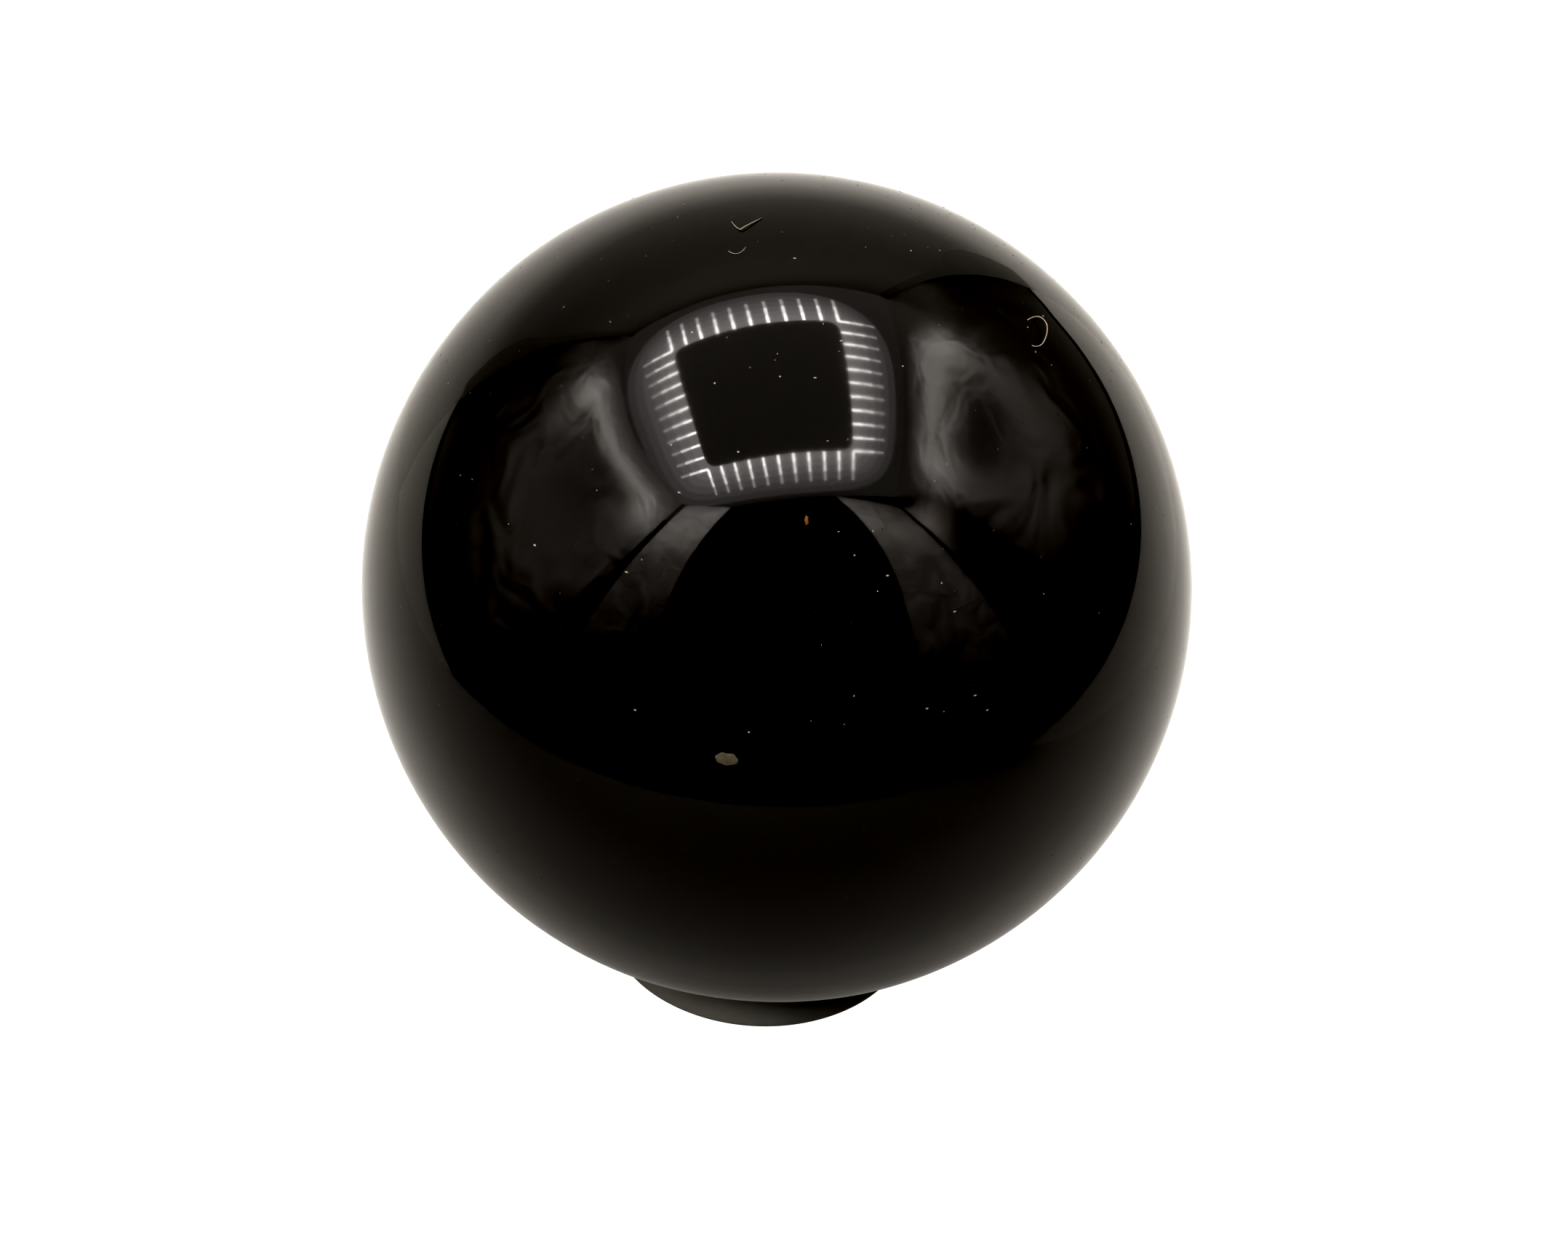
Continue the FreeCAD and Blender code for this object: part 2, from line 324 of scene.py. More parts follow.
def straight(start, end, spacing):
    """Points on a straight run, both ends included."""
    steps = max(1, math.ceil(math.dist(start, end) / spacing))
    return [tuple(a + (b - a) * step / steps for a, b in zip(start, end)) for step in range(steps + 1)]


def rounded(corner, before, after, radius, steps=7):
    """Points of an arc that rounds a corner between two sides."""
    corner, before, after = Vector(corner), Vector(before), Vector(after)
    one, two = (before - corner).normalized(), (after - corner).normalized()
    half = one.angle(two) / 2
    centre = corner + (one + two).normalized() * radius / math.sin(half)
    first = corner + one * radius / math.tan(half)
    last = corner + two * radius / math.tan(half)
    start = math.atan2(first.y - centre.y, first.x - centre.x)
    sweep = math.atan2(last.y - centre.y, last.x - centre.x) - start
    sweep = (sweep + math.pi) % (2 * math.pi) - math.pi
    turns = [start + sweep * step / steps for step in range(steps + 1)]
    return [(centre.x + radius * math.cos(a), centre.y + radius * math.sin(a)) for a in turns]


def chain(points, spacing, closed=False):
    """Joins points into one outline, dividing any gap longer than the spacing."""
    out = []
    loop = list(points) + ([points[0]] if closed else [])
    for here, there in pairwise(loop):
        if math.dist(here, there) > 1e-7:
            out += straight(here, there, spacing)[:-1]
    return out if closed else out + [loop[-1]]


print("a 90 degree corner rounded by 1 in", len(rounded((0, 0), (3, 0), (0, 3), 1)), "points")

# %% [markdown]
# One Geometry Nodes tree turns an outline into a solid of revolution. It sweeps the outline round a
# small circle on the axis, which lays the outline's second axis downwards, so heights are given as
# minus. It joins the points that meet at the poles, then lets the outer surface
# swell and sink by a few hundredths of a millimetre, as a soft moulding does when it leaves its
# mould. The same tree serves the ball, the plug and the ring: only its inputs change.

# %% Geometry Nodes tree: a turned piece
ARM = 1 * MM
JOIN_DISTANCE = 0.001 * MM
SWELL_EDGE = 0.02 * MM
SWELL_END = 0.3 * MM


def new_geometry_tree(name, inputs, output):
    """A tree with labelled inputs and one output, its input sockets, and the modifier's keys."""
    tree = bpy.data.node_groups.new(name, "GeometryNodeTree")
    keys = {}
    for label, kind in inputs.items():
        socket = tree.interface.new_socket(label, in_out="INPUT", socket_type=f"NodeSocket{kind}")
        keys[label] = socket.identifier
    tree.interface.new_socket(output, in_out="OUTPUT", socket_type="NodeSocketGeometry")
    return tree, add_node(tree, "NodeGroupInput").outputs, keys


def end_tree(tree, shape, finish):
    """Makes instances real, gives the finish and ends the tree."""
    real = add_node(tree, "GeometryNodeRealizeInstances", Geometry=shape.outputs[0])
    coated = add_node(tree, "GeometryNodeSetMaterial", Geometry=real.outputs[0], Material=finish)
    add_node(tree, "NodeGroupOutput", s0=coated.outputs[0])


def turned_piece_tree():
    """Outline in, smooth closed solid out, with a slight swell on the ball's outer surface."""
    tree, given, keys = new_geometry_tree(
        "turned_piece", {"Outline": "Geometry", "Steps Around": "Int", "Swell Height": "Float",
                         "Swell Width": "Float", "Swell Seed": "Float", "Ball Radius": "Float",
                         "Centre Height": "Float", "Finish": "Material"}, "Piece")
    outline = add_node(tree, "GeometryNodeMeshToCurve", Mesh=given["Outline"])
    circle = add_node(tree, "GeometryNodeCurvePrimitiveCircle", Resolution=given["Steps Around"],
                      Radius=ARM)
    upright = add_node(tree, "GeometryNodeSetCurveNormal", {"mode": "Z_UP"},
                       Curve=circle.outputs["Curve"])
    swept = add_node(tree, "GeometryNodeCurveToMesh", Curve=upright.outputs[0],
                     Profile_Curve=outline.outputs[0])
    joined = add_node(tree, "GeometryNodeMergeByDistance", Geometry=swept.outputs[0],
                      Distance=JOIN_DISTANCE)
    place = add_node(tree, "GeometryNodeInputPosition").outputs[0]
    centre = add_node(tree, "ShaderNodeCombineXYZ", Z=given["Centre Height"])
    from_centre = add_node(tree, "ShaderNodeVectorMath", {"operation": "SUBTRACT"},
                           s0=place, s1=centre.outputs[0])
    outward = add_node(tree, "ShaderNodeVectorMath", {"operation": "NORMALIZE"},
                       s0=from_centre.outputs[0])
    reach = add_node(tree, "ShaderNodeVectorMath", {"operation": "LENGTH"},
                     s0=from_centre.outputs[0])
    under = add_node(tree, "ShaderNodeMath", {"operation": "SUBTRACT"},
                     s0=given["Ball Radius"], s1=reach.outputs["Value"])
    on_outside = add_node(tree, "ShaderNodeMapRange", Value=under.outputs[0],
                          From_Min=SWELL_EDGE, From_Max=SWELL_END, To_Min=1.0, To_Max=0.0)
    waves = add_node(tree, "ShaderNodeMath", {"operation": "DIVIDE"},
                     s0=1.0, s1=given["Swell Width"])
    swell = add_node(tree, "ShaderNodeTexNoise", {"noise_dimensions": "4D"}, Vector=place,
                     W=given["Swell Seed"], Scale=waves.outputs[0], Detail=1.0)
    level = add_node(tree, "ShaderNodeMath", {"operation": "SUBTRACT"},
                     s0=swell.outputs["Fac"], s1=0.5)
    height = add_node(tree, "ShaderNodeMath", {"operation": "MULTIPLY"},
                      s0=level.outputs[0], s1=given["Swell Height"])
    shown = add_node(tree, "ShaderNodeMath", {"operation": "MULTIPLY"},
                     s0=height.outputs[0], s1=on_outside.outputs[0])
    move = add_node(tree, "ShaderNodeVectorMath", {"operation": "SCALE"},
                    s0=outward.outputs[0], Scale=shown.outputs[0])
    moved = add_node(tree, "GeometryNodeSetPosition", Geometry=joined.outputs[0],
                     Offset=move.outputs[0])
    smooth = add_node(tree, "GeometryNodeSetShadeSmooth", Geometry=moved.outputs[0])
    end_tree(tree, smooth, given["Finish"])
    return tree, keys


turned_tree, turned_keys = turned_piece_tree()
print("tree", turned_tree.name, "with inputs", list(turned_keys))

# %% [markdown]
# The tree runs on an object whose mesh is only the outline's edges. Once the result is right it is
# frozen into a plain mesh, its normals are set to face out, and the modifier goes with the old
# object. A finished piece then rides on its engineering body and stands for its engineering node.

# %% From outline to finished piece
SWELL_WIDTH = 30 * MM
SWELL_SEED = 4.0


def run_tree(rough, tree, keys, settings):
    """Puts a tree on an object as a modifier, and sets its inputs."""
    modifier = rough.modifiers.new(tree.name, "NODES")
    modifier.node_group = tree
    for label, setting in settings.items():
        modifier[keys[label]] = setting


def frozen(rough, name):
    """The evaluated object as a plain mesh object at the origin, with faces outward."""
    bpy.context.view_layer.update()
    ready = rough.evaluated_get(bpy.context.evaluated_depsgraph_get())
    mesh = bpy.data.meshes.new_from_object(ready)
    bpy.data.objects.remove(rough)
    work = bmesh.new()
    work.from_mesh(mesh)
    bmesh.ops.remove_doubles(work, verts=work.verts, dist=JOIN_DISTANCE)
    bmesh.ops.recalc_face_normals(work, faces=work.faces)
    open_edges = sum(1 for edge in work.edges if not edge.is_manifold)
    volume = work.calc_volume(signed=True)
    work.to_mesh(mesh)
    work.free()
    piece = add_object(name, mesh)
    print(name, len(mesh.polygons), "faces,", open_edges, "open edges,",
          round(volume / MM ** 3, 1), "mm3")
    return piece


def turn(name, outline, closed, finish, steps_around, swell_height=0.0):
    """Turns an outline about the Z axis with the tree."""
    mesh = bpy.data.meshes.new(name)
    spots = [(reach - ARM, -height, 0) for reach, height in outline]
    edges = list(pairwise(range(len(spots)))) + ([(len(spots) - 1, 0)] if closed else [])
    mesh.from_pydata(spots, edges, [])
    rough = add_object(name + "_outline", mesh)
    run_tree(rough, turned_tree, turned_keys, {
        "Steps Around": steps_around, "Swell Height": swell_height, "Swell Width": SWELL_WIDTH,
        "Swell Seed": SWELL_SEED, "Ball Radius": BALL_RADIUS, "Centre Height": CENTRE_HEIGHT,
        "Finish": finish})
    return frozen(rough, name)


def finish_piece(piece, body, node):
    """The piece moves with its body and stands for its node, which is hidden."""
    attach(piece, body)
    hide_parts(node)
    return piece


# %% [markdown]
# The skin is one closed shell: the polished outside, the rounded lip of the valve hole, the hole
# through the thick patch, and the wall of the air space. The outside gets fine rings because it
# mirrors the room, and a coarse mesh would show as kinks. The inside is never seen, so it is coarse.

# %% Ball skin
FINE = 0.5 * MM
COARSE = 1.6 * MM
LIP_ROUND = 0.3 * MM
HOLE_GAP = 0.03 * MM
SKIN_STEPS = 288
SWELL_HEIGHT = 0.2 * MM
CAVITY_RADIUS = BALL_RADIUS - SKIN_WALL
PATCH_TOP = BOTTOM + SKIN_WALL + PATCH_LENGTH
HEAD_TOP = BOTTOM + HEAD_LENGTH
centre_spot = (0, CENTRE_HEIGHT)


def on_sphere(radius, reach):
    """Height of the ball-centred sphere under its centre, at a distance from the axis."""
    return CENTRE_HEIGHT - math.sqrt(radius ** 2 - reach ** 2)


HOLE_RADIUS = HEAD_RADIUS + HOLE_GAP
lip = (HOLE_RADIUS, on_sphere(BALL_RADIUS, HOLE_RADIUS))
lip_before = (lip[0] + 1 * MM, on_sphere(BALL_RADIUS, lip[0] + 1 * MM))
lip_arc = rounded(lip, lip_before, (HOLE_RADIUS, HEAD_TOP), LIP_ROUND)
arc_end = math.atan2(lip_arc[0][1] - CENTRE_HEIGHT, lip_arc[0][0])
outside = arc(centre_spot, BALL_RADIUS, math.pi / 2, arc_end, FINE)
patch_foot = (PATCH_RADIUS, on_sphere(CAVITY_RADIUS, PATCH_RADIUS))
foot_angle = math.atan2(patch_foot[1] - CENTRE_HEIGHT, patch_foot[0])
patch_edge = rounded((PATCH_RADIUS, PATCH_TOP), (SHANK_RADIUS, PATCH_TOP), patch_foot, PATCH_ROUND)
skin_outline = (
    outside
    + lip_arc
    + chain([lip_arc[-1], (HOLE_RADIUS, HEAD_TOP), (SHANK_RADIUS, HEAD_TOP),
             (SHANK_RADIUS, PATCH_TOP), patch_edge[0]], COARSE)[1:]
    + patch_edge[1:]
    + chain([patch_edge[-1], patch_foot], COARSE)[1:]
    + arc(centre_spot, CAVITY_RADIUS, foot_angle, math.pi / 2, COARSE)[1:]
)
skin = turn("ball_skin_polished", skin_outline, False, ball_finish, SKIN_STEPS, SWELL_HEIGHT)
finish_piece(skin, "ball", "ball_skin")

# %% [markdown]
# The valve plug seals itself: the needle pushes through its centre and the rubber closes behind it.
# Its head follows the ball's surface and has two fine moulded rings that show where to push. The
# outline starts at the blind end of the needle channel and ends at the tip of the holding bulb.

# %% Valve plug
HEAD_EDGE = 0.25 * MM
LEAD_IN = 0.4 * MM
RING_STEP = 0.12 * MM
HEAD_SINK = 0.06 * MM
HEAD_GAP = 0.05 * MM
BARB_ROUND = 0.3 * MM
PLUG_SPACING = 0.2 * MM
PLUG_STEPS = 96
head_radius = HEAD_RADIUS - HEAD_GAP


def head_point(reach, sink=0.0):
    """A point on the plug's head, sunk a little under the ball's surface."""
    return (reach, on_sphere(BALL_RADIUS, reach) + HEAD_SINK + sink)


mould_rings = []
for ring_reach in (1.9 * MM, 2.7 * MM):
    for offset, depth in ((-1.5, 0), (-0.5, 1), (0.5, 1), (1.5, 0)):
        mould_rings.append(head_point(ring_reach + offset * RING_STEP, depth * RING_STEP))
head_edge = rounded(head_point(head_radius), head_point(head_radius - 1 * MM),
                    (head_radius, HEAD_TOP), HEAD_EDGE)
barb_edge = rounded((BARB_RADIUS, PATCH_TOP), (SHANK_RADIUS, PATCH_TOP),
                    (BARB_RADIUS - BARB_TAPER, PLUG_TOP), BARB_ROUND)
plug_outline = chain(
    [(0, BOTTOM + NEEDLE_DEPTH), (NEEDLE_RADIUS, BOTTOM + NEEDLE_DEPTH),
     (NEEDLE_RADIUS, BOTTOM + LEAD_IN), head_point(NEEDLE_RADIUS + LEAD_IN)]
    + mould_rings + head_edge
    + [(head_radius, HEAD_TOP), (SHANK_RADIUS, HEAD_TOP), (SHANK_RADIUS, PATCH_TOP)]
    + barb_edge + [(BARB_RADIUS - BARB_TAPER, PLUG_TOP), (0, PLUG_TOP)], PLUG_SPACING)
plug = turn("valve_plug_moulded", plug_outline, False, plug_finish, PLUG_STEPS)
finish_piece(plug, "ball", "valve_plug")

# %% [markdown]
# The ring is a moulding with a seat that follows the ball, a rounded rim and a wall that leans in a
# little, so that it leaves its mould. Its outline is closed and doesn't meet the axis, so the sweep
# gives a ring with no poles.

# %% Stand ring
SEAT_RADIUS = BALL_RADIUS + SEAT_GAP
SEAT_ROUND = 0.4 * MM
RING_SPACING = 0.3 * MM
RING_STEPS = 192
hole = RING_RADIUS - RING_WALL
wall_top = (RING_RADIUS - RING_DRAFT, on_sphere(SEAT_RADIUS, RING_RADIUS - RING_DRAFT))
seat_in = (hole, on_sphere(SEAT_RADIUS, hole))
seat_mid = (hole + RING_WALL / 2, on_sphere(SEAT_RADIUS, hole + RING_WALL / 2))
foot_in, foot_out = (hole, 0), (RING_RADIUS, 0)
ring_outline = chain(
    rounded(foot_in, seat_in, foot_out, FOOT_ROUND)
    + rounded(foot_out, foot_in, wall_top, FOOT_ROUND)
    + rounded(wall_top, foot_out, seat_mid, RIM_ROUND, 12)
    + [seat_mid]
    + rounded(seat_in, seat_mid, foot_in, SEAT_ROUND), RING_SPACING, closed=True)
ring = turn("stand_ring_moulded", ring_outline, True, ring_finish, RING_STEPS)
finish_piece(ring, "stand", "stand_ring")

# %% [markdown]
# Loose dust is scattered over the upper part of the ball by a second tree. It picks points on the
# surface with a fixed seed and puts a flattened, few-sided fleck on each one, turned and sized by
# chance. The flecks are many and tiny, so each has only a few faces.

# %% Geometry Nodes tree: scattered dust
FLECK_SIZE = 0.11 * MM
FLECKS_PER_SQUARE_METRE = 30000.0
DUST_SLOPE = 0.3
DUST_SEED = 7


def dust_tree():
    """Scatters flecks over the faces that look up, where dust settles."""
    tree, given, keys = new_geometry_tree(
        "scattered_dust", {"Surface": "Geometry", "Flecks Per Square Metre": "Float",
                           "Fleck Size": "Float", "Seed": "Int", "Finish": "Material"}, "Dust")
    facing = add_node(tree, "ShaderNodeSeparateXYZ",
                      Vector=add_node(tree, "GeometryNodeInputNormal").outputs[0])
    upward = add_node(tree, "ShaderNodeMath", {"operation": "GREATER_THAN"},
                      s0=facing.outputs["Z"], s1=DUST_SLOPE)
    spots = add_node(tree, "GeometryNodeDistributePointsOnFaces", Mesh=given["Surface"],
                     Selection=upward.outputs[0], Density=given["Flecks Per Square Metre"],
                     Seed=given["Seed"])
    fleck = add_node(tree, "GeometryNodeMeshIcoSphere", Radius=given["Fleck Size"],
                     Subdivisions=1)
    sizes = add_node(tree, "FunctionNodeRandomValue", {"data_type": "FLOAT_VECTOR"},
                     Min=(0.3, 0.3, 0.12), Max=(1.5, 1.0, 0.3), Seed=given["Seed"])
    flecks = add_node(tree, "GeometryNodeInstanceOnPoints", Points=spots.outputs["Points"],
                      Instance=fleck.outputs["Mesh"], Rotation=spots.outputs["Rotation"],
                      Scale=sizes.outputs[0])
    end_tree(tree, flecks, given["Finish"])
    return tree, keys


scatter_tree, scatter_keys = dust_tree()
rough_dust = add_object("dust_rough", skin.data.copy())
run_tree(rough_dust, scatter_tree, scatter_keys, {
    "Flecks Per Square Metre": FLECKS_PER_SQUARE_METRE, "Fleck Size": FLECK_SIZE,
    "Seed": DUST_SEED, "Finish": dust_finish})
dust_flecks = frozen(rough_dust, "dust_flecks")
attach(dust_flecks, "ball")

# %% [markdown]
# A few larger bits are placed one by one, because they are what a viewer remembers: a curled fibre, a
# tick-shaped one, a dry flake and a golden speck. A fibre is a short curve laid on the sphere and
# given a hair's thickness. Each is set by the direction from the ball's centre, in degrees.

# %% Lint, flake and speck
FIBRE_RADIUS = 0.05 * MM


def on_ball(side, up, lift=0.0):
    """A point on the ball. Side is the angle from the front towards +X, up is above level."""
    side, up = math.radians(side), math.radians(up)
    outward = Vector((math.sin(side) * math.cos(up), -math.cos(side) * math.cos(up), math.sin(up)))
    return BALL_CENTRE + outward * (BALL_RADIUS + lift)


def fibre(name, spots, body, radius=FIBRE_RADIUS):
    """A thin closed tube along a smooth curve through points in space."""
    curve = bpy.data.curves.new(name, "CURVE")
    curve.dimensions = "3D"
    spline = curve.splines.new("NURBS")
    spline.points.add(len(spots) - 1)
    for point, spot in zip(spline.points, spots):
        point.co = (*spot, 1)
    spline.order_u = 3
    spline.use_endpoint_u = True
    curve.bevel_depth = radius
    curve.bevel_resolution = 2
    curve.use_fill_caps = True
    curve.resolution_u = 8
    curve.materials.append(lint_finish)
    piece = frozen(add_object(name + "_curve", curve), name)
    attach(piece, body)
    return piece


near, mid, high = 0.04 * MM, 0.25 * MM, 0.5 * MM
fibre("lint_curl", [on_ball(83, 57.3, near), on_ball(87, 56.2, mid), on_ball(85, 54.6, high),
                    on_ball(80, 54.2, mid), on_ball(76, 54.6, near), on_ball(75, 55.6, near)],
      "ball")
fibre("lint_tick", [on_ball(-110, 81.0, near), on_ball(-93, 82.6, near), on_ball(-98, 83.3, mid),
                    on_ball(-129, 84.2, near)], "ball", 0.04 * MM)
fibre("lint_faint", [on_ball(-64, 80.5, near), on_ball(-51, 80.7, near), on_ball(-61, 82.8, near)],
      "ball", 0.03 * MM)


def flake(name, side, up, size, finish, seed):
    """A flattened, lumpy chip lying on the ball."""
    mesh = bpy.data.meshes.new(name)
    work = bmesh.new()
    bmesh.ops.create_icosphere(work, subdivisions=3, radius=1)
    spot = on_ball(side, up)
    outward = (spot - BALL_CENTRE).normalized()
    lay = outward.to_track_quat("Z", "Y").to_matrix()
    for vert in work.verts:
        wobble = 1 + 0.18 * math.sin(5 * vert.co.x + seed) * math.cos(4 * vert.co.y - seed)
        shaped = Vector((vert.co.x * size[0], vert.co.y * size[1], vert.co.z * size[2])) * wobble
        vert.co = spot + lay @ shaped
    for face in work.faces:
        face.smooth = True
    work.to_mesh(mesh)
    work.free()
    mesh.materials.append(finish)
    piece = add_object(name, mesh)
    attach(piece, "ball")
    print(name, len(mesh.polygons), "faces")
    return piece


flake("flake_dry", -5.3, 14.2, (0.85 * MM, 0.5 * MM, 0.07 * MM), flake_finish, 1.3)
flake("speck_gold", 4.6, 45.0, (0.16 * MM, 0.36 * MM, 0.09 * MM), gold_finish, 0.4)
ring_front = Vector((4.9 * MM, -11.3 * MM, 2.2 * MM))
fibre("lint_on_ring", [ring_front, ring_front + Vector((0.3, -0.2, -0.5)) * MM,
                       ring_front + Vector((0.2, -0.25, -1.0)) * MM], "stand",
      0.03 * MM)

# %% [markdown]
# The studio is a small folding light box: a square ring of lamps in the ceiling, a white sheet that
# covers the back and the floor and rides up the side walls, silver cloth walls, and an open front
# between two silver flaps. The black ball mirrors all of it, so the box is built as a real one and
# turned as it stood on the bench. Lengths in it are in ceiling heights above the ball's centre,
# which makes every wall easy to place. The camera itself doesn't see the walls, so any view can
# look through them.

# %% Light box measures and helpers
CEILING = 6.6 * BALL_RADIUS
BOX_TURN = Matrix.Rotation(math.radians(10.5), 3, "Z")
BOX_SHIFT = -0.058
BOX_CENTRE = BALL_CENTRE + Vector((BOX_SHIFT * CEILING, 0, 0))
BENCH = -CENTRE_HEIGHT / CEILING - 0.001
SIDE = 0.545
BACK = 0.56
FRONT = -0.60
TRIM_GAP = 0.013
STRAY_LIGHT = "#fffcf7"


def in_box(x, y, z):
    """A point in the light box's own directions, in ceiling heights."""
    return BOX_CENTRE + BOX_TURN @ Vector((x, y, z)) * CEILING


def studio_sheet(name, place, material, across=24, along=24):
    """A stage surface. Place gives the box point for two numbers from 0 to 1."""
    mesh = bpy.data.meshes.new(name)
    spots = [in_box(*place(u / across, v / along)) for v in range(along + 1) for u in range(across + 1)]
    row = across + 1
    faces = [(n, n + 1, n + 1 + row, n + row)
             for v in range(along) for n in range(v * row, v * row + across)]
    mesh.from_pydata(spots, [], faces)
    mesh.materials.append(material)
    for face in mesh.polygons:
        face.use_smooth = True
    item = add_object(name, mesh)
    item.visible_camera = False


def glow_material(name, sheet_colour, strength):
    """A plain light source."""
    material, tree = blank_material(name)
    light = add_node(tree, "ShaderNodeEmission", Color=linear(sheet_colour), Strength=strength)
    add_node(tree, "ShaderNodeOutputMaterial", Surface=light.outputs[0])
    return material


def cloth_material(name, sheet_colour, glow=0.0):
    """Dull studio cloth that may glow a little. Gives its tree, shader and coordinates too."""
    material, tree, shader, where = new_material(name)
    set_sockets(shader, Base_Color=linear(sheet_colour), Roughness=0.9,
                Emission_Color=linear(STRAY_LIGHT), Emission_Strength=glow)
    return material, tree, shader, where


# %% [markdown]
# White cloth glows a little by itself here. It stands for the light that goes through the thin
# sheet and comes back, which keeps the bench under the ball from going black. The back sheet's
# colour is painted darker above its foot: painted shade, deepest where it hangs in its own fold.

# %% White sheets
FLOOR_GLOW = 0.20
FRONT_GLOW = 0.55
FRONT_GLOW_START = -0.3
FRONT_GLOW_END = -0.55
WALL_GLOW = 0.29
# Painted shade on the back sheet: colour stops by share of the height above the ball's centre.
PAINTED_SHADE_STOPS = ((0.12, "#d4d3d0"), (0.26, "#a6a5a2"), (0.45, "#acaba8"), (0.75, "#bebcb8"))

hem_sheet = cloth_material("white_sheet_hem", "#e4e3e0", WALL_GLOW)[0]

back_sheet, tree, shader, where = cloth_material("white_sheet_back", "#e4e3e0", WALL_GLOW)
height = add_node(tree, "ShaderNodeSeparateXYZ", Vector=where).outputs["Z"]
# Painted shade: the back sheet's colour darkens above its foot along these stops.
height_for_painted_shade = add_node(tree, "ShaderNodeMapRange", Value=height, From_Min=CENTRE_HEIGHT,
                From_Max=CENTRE_HEIGHT + CEILING)
painted_shade_ramp = add_node(tree, "ShaderNodeValToRGB", s0=height_for_painted_shade.outputs[0])
for share, tint in PAINTED_SHADE_STOPS[1:-1]:
    painted_shade_ramp.color_ramp.elements.new(share)
for stop, (share, tint) in zip(painted_shade_ramp.color_ramp.elements, PAINTED_SHADE_STOPS):
    stop.position = share
    stop.color = linear(tint)
set_sockets(shader, Base_Color=painted_shade_ramp.outputs[0])

floor_sheet, tree, shader, where = cloth_material("white_sheet_floor", "#cbcac7", FLOOR_GLOW)
depth = add_node(tree, "ShaderNodeSeparateXYZ", Vector=where).outputs["Y"]
front_glow = add_node(tree, "ShaderNodeMapRange", Value=depth, From_Min=FRONT_GLOW_START * CEILING,
                      From_Max=FRONT_GLOW_END * CEILING, To_Min=FLOOR_GLOW, To_Max=FRONT_GLOW)
set_sockets(shader, Emission_Strength=front_glow.outputs[0])

SHEET_ROUND = 0.595
SHEET_SIDE = 0.15
LEFT_ROUND_ACROSS = 2.3
LEFT_ROUND_ALONG = 1.7
LEFT_HEM_RISE = 0.5
RIGHT_HEM_RISE = 0.36
RIGHT_HEM_START = -0.435
RIGHT_HEM_TOP = 0.145


def floor_front(x):
    """The sheet's front edge is round. It is rounder still at the left wall."""
    if x > SHEET_SIDE:
        reach = 1 - ((x - SHEET_SIDE) / SHEET_ROUND) ** 2
        return -SHEET_ROUND * math.sqrt(max(0.0, reach))
    share = (SHEET_SIDE - x) / (SHEET_SIDE + SIDE)
    return -SHEET_ROUND * max(0.0, 1 - share ** LEFT_ROUND_ACROSS) ** (1 / LEFT_ROUND_ALONG)


def left_hem(y):
    """How high the sheet rides up the left wall."""
    return BENCH + LEFT_HEM_RISE * max(0.0, y)


def right_hem(y):
    """How high the sheet rides up the right wall."""
    return min(RIGHT_HEM_TOP, BENCH + RIGHT_HEM_RISE * max(0.0, y - RIGHT_HEM_START))


def between(start, end, share):
    """The value a share of the way from start to end."""
    return start + (end - start) * share


def floor_place(u, v):
    """The floor, from its round front edge to the back wall."""
    x = between(-SIDE, SIDE, u)
    return x, between(floor_front(x), BACK, v), BENCH


def back_place(u, v):
    """The back wall, from the floor to the ceiling."""
    return between(-SIDE, SIDE, u), BACK, between(BENCH, 1.0, v)


def hem_place(side, hem, front):
    """The hem on a side wall. Side is -1 on the left and 1 on the right."""
    def place(u, v):
        y = between(front, BACK, u)
        return side * SIDE, y, between(BENCH, hem(y), v)
    return place


studio_sheet("studio_floor_sheet", floor_place, floor_sheet, across=48)
studio_sheet("studio_back_sheet", back_place, back_sheet)
studio_sheet("studio_left_hem", hem_place(-1, left_hem, 0), hem_sheet)
studio_sheet("studio_right_hem", hem_place(1, right_hem, RIGHT_HEM_START), hem_sheet)
print("white sheet", round(2 * SIDE * CEILING / MM), "mm wide")

# %% [markdown]
# Silver cloth is a metal film on fabric. It mirrors the lamps as soft patches, because the weave
# blurs them and slack folds bend them. A low bump gives the folds. The film's colour is darker low
# down, and the front flaps let a little stray light through near the top.

# %% Silver cloth
DARK_BELOW_HEIGHT = 0.50
BRIGHT_ABOVE_HEIGHT = 0.72


